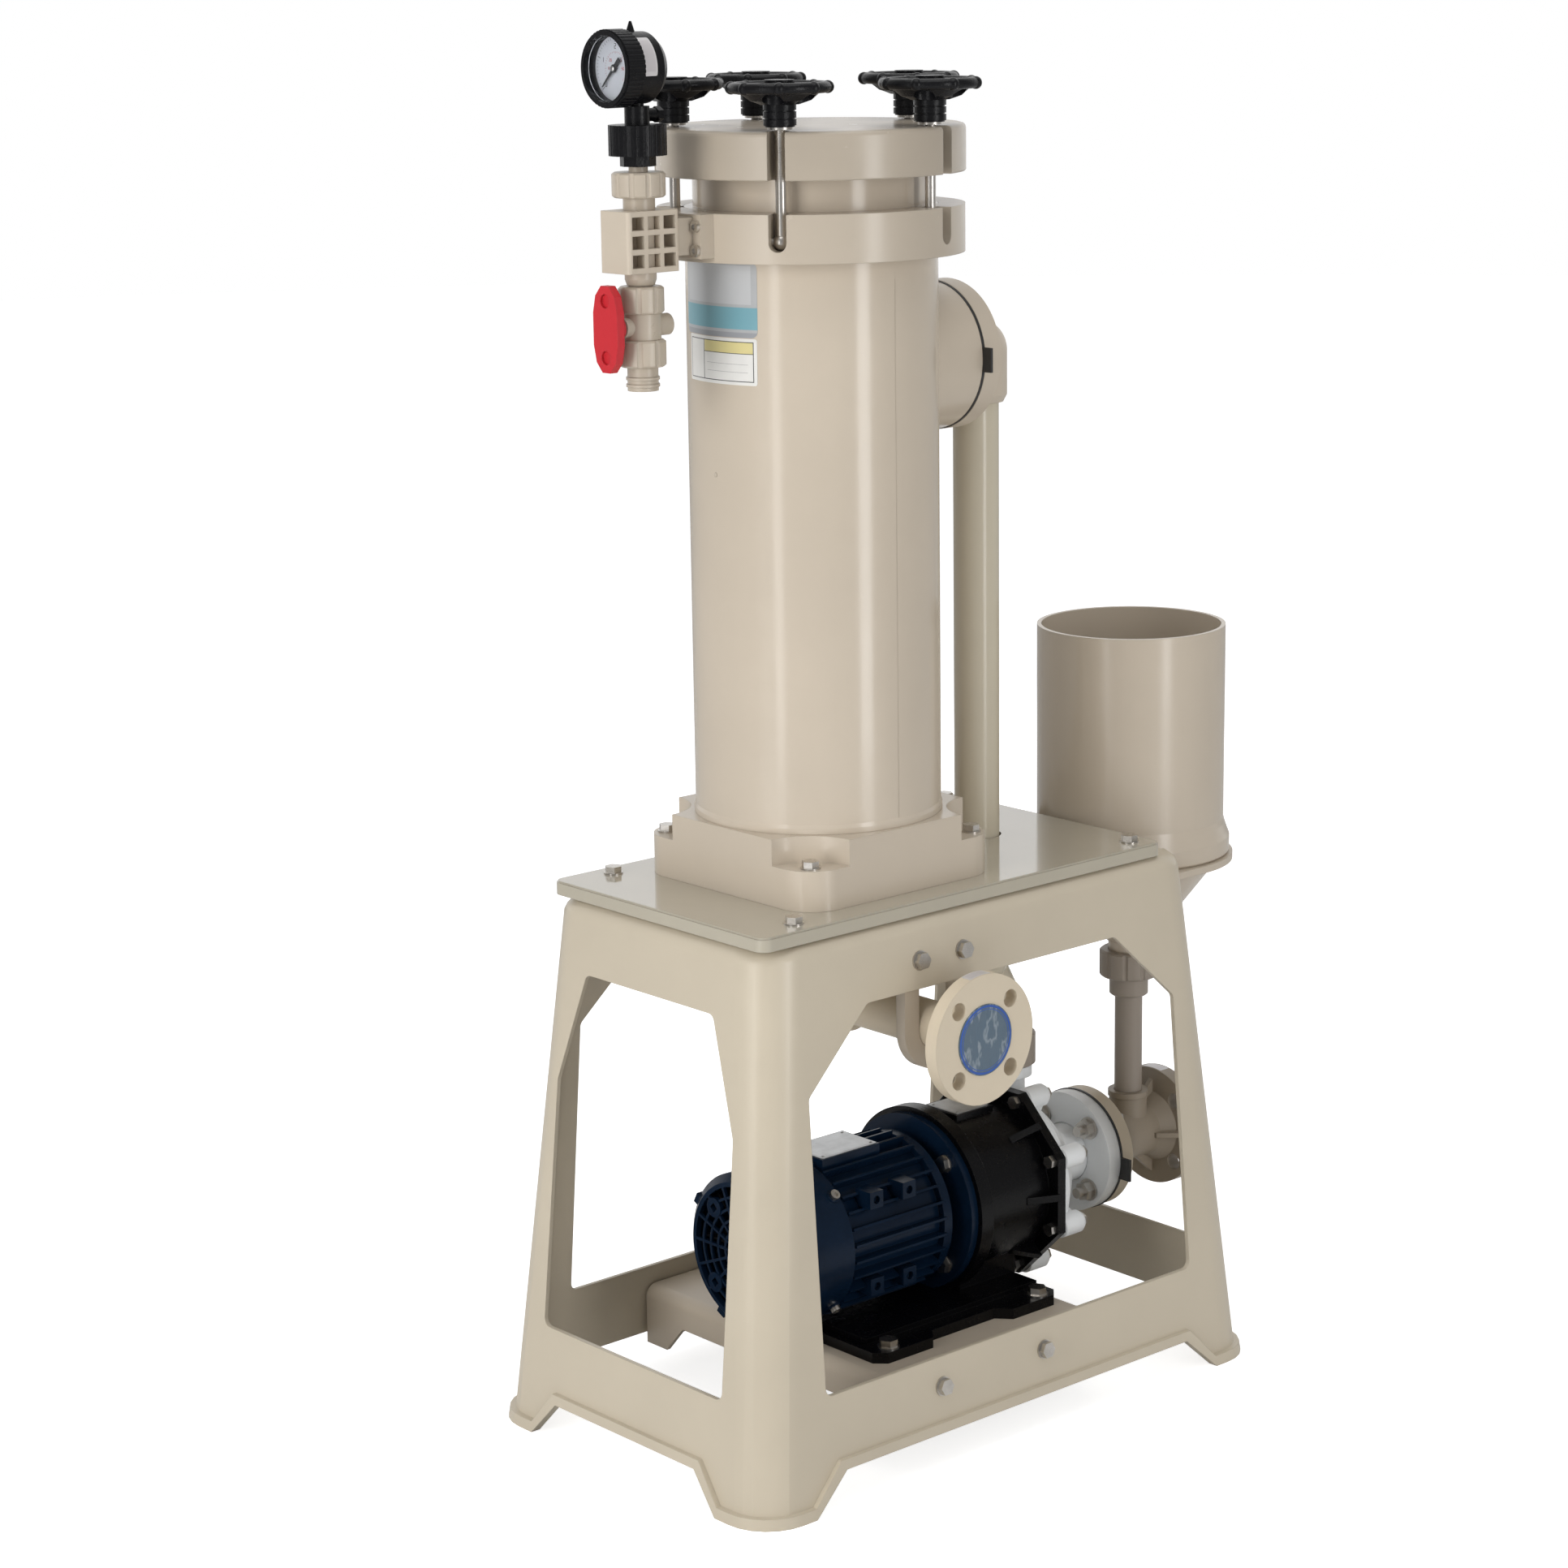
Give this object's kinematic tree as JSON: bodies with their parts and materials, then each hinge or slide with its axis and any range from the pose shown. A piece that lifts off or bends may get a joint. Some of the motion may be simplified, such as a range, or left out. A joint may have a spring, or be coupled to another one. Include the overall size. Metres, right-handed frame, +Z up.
{
  "type": "chemical filter pump",
  "caption": "Chemical filter pump: lidded cartridge vessel on a moulded stand, magnet-drive pump with motor, dosing tank, gauge and valve column, flanged outlet.",
  "frame": {"origin": "centre of the bounding box's bottom face, on the floor", "axes": "+Z up; +X from the gauge column and motor fan towards the suction flange and tank; -Y towards the outlet flange"},
  "size_m": [0.877, 0.4762, 1.505],
  "materials": {
    "moulded_beige": "satin moulded polypropylene",
    "cream_plastic": "satin moulded plastic",
    "white_plastic": "matt",
    "white_casing": "semi-gloss, slightly translucent",
    "filter_media": "wound fibre",
    "stainless": "bare stainless",
    "shaft_steel": "ground",
    "seal_rubber": "matt",
    "black_plastic": "gloss",
    "black_paint": "gloss",
    "navy_paint": "semi-gloss",
    "grey_plastic": "satin",
    "red_plastic": "semi-gloss",
    "blue_film": "semi-gloss",
    "dial_white": "matt print",
    "pointer_black": "matt",
    "clear_glass": "clear"
  },
  "bodies": {
    "frame": {"stand": "moulded_beige", "top_plate": "moulded_beige", "pump_tray": "moulded_beige", "frame_bolts": "stainless", "vessel_base": "moulded_beige", "barrel": "moulded_beige", "collar": "moulded_beige", "lid": "moulded_beige", "lid_seal": "seal_rubber", "seat_plate": "white_plastic", "cartridges": "filter_media", "retainer": "white_plastic", "gaskets": "seal_rubber", "inlet_elbow": "moulded_beige", "riser_pipe": "moulded_beige", "column_clamp": "moulded_beige", "column_pipe": "moulded_beige", "column_nuts": "moulded_beige", "gauge_adapter": "black_plastic", "gauge_case": "black_plastic", "gauge_dial": "dial_white", "gauge_window": "clear_glass", "valve_body": "moulded_beige", "valve_seats": "white_plastic", "outlet_line": "cream_plastic", "outlet_cap": "blue_film", "outlet_hanger": "moulded_beige", "motor_frame": "navy_paint", "fan_cover": "navy_paint", "pump_bracket": "black_paint", "pump_casing": "white_casing", "suction_flange": "white_casing", "pump_bolts": "stainless", "isolation_can": "grey_plastic", "suction_tee": "cream_plastic", "tank": "moulded_beige", "tank_shelf": "moulded_beige", "drain_nuts": "grey_plastic", "tank_pipe": "grey_plastic"},
    "swing_1": {"swing_bolt_1": "stainless"},
    "washer_1": {"lid_washer_1": "stainless"},
    "wheel_1": {"handwheel_1": "black_plastic"},
    "swing_2": {"swing_bolt_2": "stainless"},
    "washer_2": {"lid_washer_2": "stainless"},
    "wheel_2": {"handwheel_2": "black_plastic"},
    "swing_3": {"swing_bolt_3": "stainless"},
    "washer_3": {"lid_washer_3": "stainless"},
    "wheel_3": {"handwheel_3": "black_plastic"},
    "swing_4": {"swing_bolt_4": "stainless"},
    "washer_4": {"lid_washer_4": "stainless"},
    "wheel_4": {"handwheel_4": "black_plastic"},
    "swing_5": {"swing_bolt_5": "stainless"},
    "washer_5": {"lid_washer_5": "stainless"},
    "wheel_5": {"handwheel_5": "black_plastic"},
    "rotor": {"motor_rotor": "shaft_steel", "cooling_fan": "black_plastic"},
    "impeller": {"impeller": "black_plastic"},
    "valve": {"valve_handle": "red_plastic", "valve_ball": "white_plastic"},
    "pointer": {"gauge_pointer": "pointer_black"}
  },
  "joints": [
    {"name": "swing_1_hinge", "type": "hinge", "parent": "frame", "child": "swing_1", "pos_m": [-0.0045, 0.0071, 1.287], "axis": [0, 1, 0], "range_deg": [0, 85]},
    {"name": "washer_1_lift", "type": "slide", "parent": "swing_1", "child": "washer_1", "axis": [0, 0, 1], "range_m": [0, 0.012]},
    {"name": "wheel_1_turn", "type": "hinge", "parent": "washer_1", "child": "wheel_1", "pos_m": [-0.0045, 0.0071, 1.42], "axis": [0, 0, 1], "range_deg": [0, 2880]},
    {"name": "swing_2_hinge", "type": "hinge", "parent": "frame", "child": "swing_2", "pos_m": [-0.10124, 0.14025, 1.287], "axis": [-0.9511, 0.309, 0], "range_deg": [0, 85]},
    {"name": "washer_2_lift", "type": "slide", "parent": "swing_2", "child": "washer_2", "axis": [0, 0, 1], "range_m": [0, 0.012]},
    {"name": "wheel_2_turn", "type": "hinge", "parent": "washer_2", "child": "wheel_2", "pos_m": [-0.10124, 0.14025, 1.42], "axis": [0, 0, 1], "range_deg": [0, 2880]},
    {"name": "swing_3_hinge", "type": "hinge", "parent": "frame", "child": "swing_3", "pos_m": [-0.25776, 0.08939, 1.287], "axis": [-0.5878, -0.809, 0], "range_deg": [0, 85]},
    {"name": "washer_3_lift", "type": "slide", "parent": "swing_3", "child": "washer_3", "axis": [0, 0, 1], "range_m": [0, 0.012]},
    {"name": "wheel_3_turn", "type": "hinge", "parent": "washer_3", "child": "wheel_3", "pos_m": [-0.25776, 0.08939, 1.42], "axis": [0, 0, 1], "range_deg": [0, 2880]},
    {"name": "swing_4_hinge", "type": "hinge", "parent": "frame", "child": "swing_4", "pos_m": [-0.25776, -0.07519, 1.287], "axis": [0.5878, -0.809, 0], "range_deg": [0, 85]},
    {"name": "washer_4_lift", "type": "slide", "parent": "swing_4", "child": "washer_4", "axis": [0, 0, 1], "range_m": [0, 0.012]},
    {"name": "wheel_4_turn", "type": "hinge", "parent": "washer_4", "child": "wheel_4", "pos_m": [-0.25776, -0.07519, 1.42], "axis": [0, 0, 1], "range_deg": [0, 2880]},
    {"name": "swing_5_hinge", "type": "hinge", "parent": "frame", "child": "swing_5", "pos_m": [-0.10124, -0.12605, 1.287], "axis": [0.9511, 0.309, 0], "range_deg": [0, 85]},
    {"name": "washer_5_lift", "type": "slide", "parent": "swing_5", "child": "washer_5", "axis": [0, 0, 1], "range_m": [0, 0.012]},
    {"name": "wheel_5_turn", "type": "hinge", "parent": "washer_5", "child": "wheel_5", "pos_m": [-0.10124, -0.12605, 1.42], "axis": [0, 0, 1], "range_deg": [0, 2880]},
    {"name": "valve_turn", "type": "hinge", "parent": "frame", "child": "valve", "pos_m": [-0.3725, 0.0071, 1.207], "axis": [1, 0, 0], "range_deg": [0, 90]},
    {"name": "gauge_needle", "type": "hinge", "parent": "frame", "child": "pointer", "pos_m": [-0.3985, 0.0071, 1.46], "axis": [1, 0, 0], "range_deg": [0, 270], "stiffness_Nm_per_rad": 0.001},
    {"name": "motor_shaft", "type": "hinge", "parent": "frame", "child": "rotor", "pos_m": [-0.0945, -0.0109, 0.21], "axis": [1, 0, 0], "continuous": true},
    {"name": "impeller_spin", "type": "hinge", "parent": "frame", "child": "impeller", "pos_m": [0.0755, -0.0109, 0.21], "axis": [1, 0, 0], "continuous": true}
  ],
  "couplings": [
    {"joint": "washer_1_lift", "follows": "wheel_1_turn", "m_per_rad": 0.00023873},
    {"joint": "washer_2_lift", "follows": "wheel_2_turn", "m_per_rad": 0.00023873},
    {"joint": "washer_3_lift", "follows": "wheel_3_turn", "m_per_rad": 0.00023873},
    {"joint": "washer_4_lift", "follows": "wheel_4_turn", "m_per_rad": 0.00023873},
    {"joint": "washer_5_lift", "follows": "wheel_5_turn", "m_per_rad": 0.00023873},
    {"joint": "impeller_spin", "follows": "motor_shaft", "ratio": 1}
  ]
}
